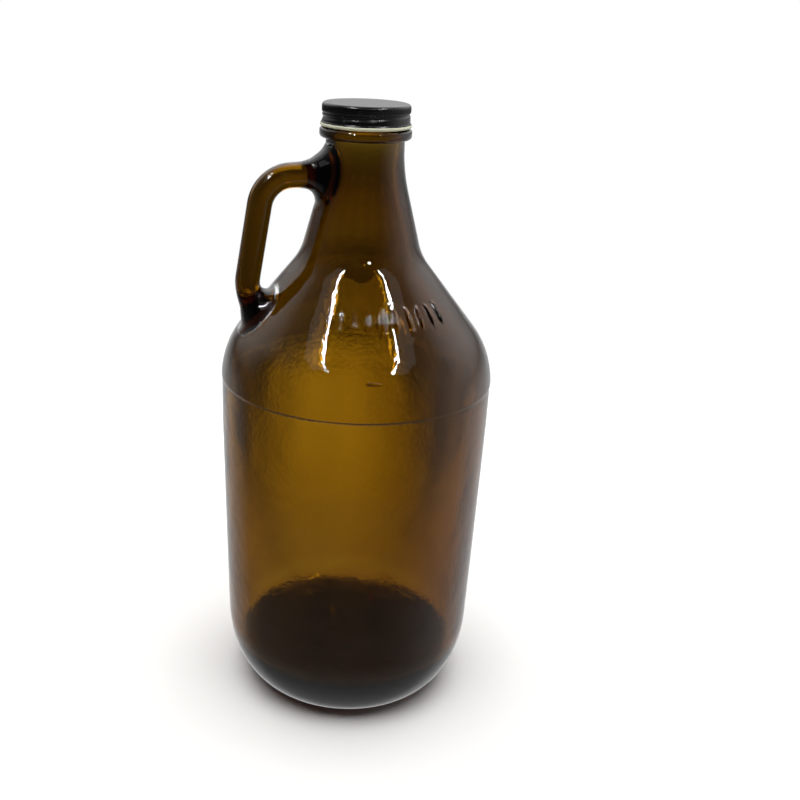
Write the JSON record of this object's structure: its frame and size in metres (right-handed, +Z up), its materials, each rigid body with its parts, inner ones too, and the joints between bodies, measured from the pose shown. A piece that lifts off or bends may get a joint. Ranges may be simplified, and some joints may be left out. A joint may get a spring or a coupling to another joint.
{
  "type": "growler",
  "caption": "Amber glass beer growler with a loop handle on the shoulder and a screw-on metal cap with a sealing liner.",
  "frame": {"origin": "centre of the base, on the surface that the bottle stands on", "axes": "+Z up along the bottle's axis, which is also the cap's turning axis; the loop handle is towards -X, in the XZ plane"},
  "size_m": [0.1204, 0.1204, 0.27],
  "materials": {
    "amber_glass": "clear amber glass, fire-polished",
    "black_tinplate": "satin black lacquer outside, cream lacquer inside",
    "pulpboard": "matt pressed pulp",
    "seal_film": "smooth white film"
  },
  "bodies": {
    "bottle": {"glass_bottle": "amber_glass"},
    "liner": {"liner_backing": "pulpboard", "liner_facing": "seal_film"},
    "cap": {"cap_shell": "black_tinplate"}
  },
  "joints": [
    {"name": "cap_rise", "type": "slide", "parent": "bottle", "child": "liner", "axis": [0, 0, 1], "range_m": [0, 0.0128]},
    {"name": "cap_turn", "type": "hinge", "parent": "liner", "child": "cap", "pos_m": [0, 0, 0.265], "axis": [0, 0, 1], "range_deg": [0, 1080]}
  ],
  "couplings": [
    {"joint": "cap_rise", "follows": "cap_turn", "m_per_rad": 0.00067376}
  ]
}
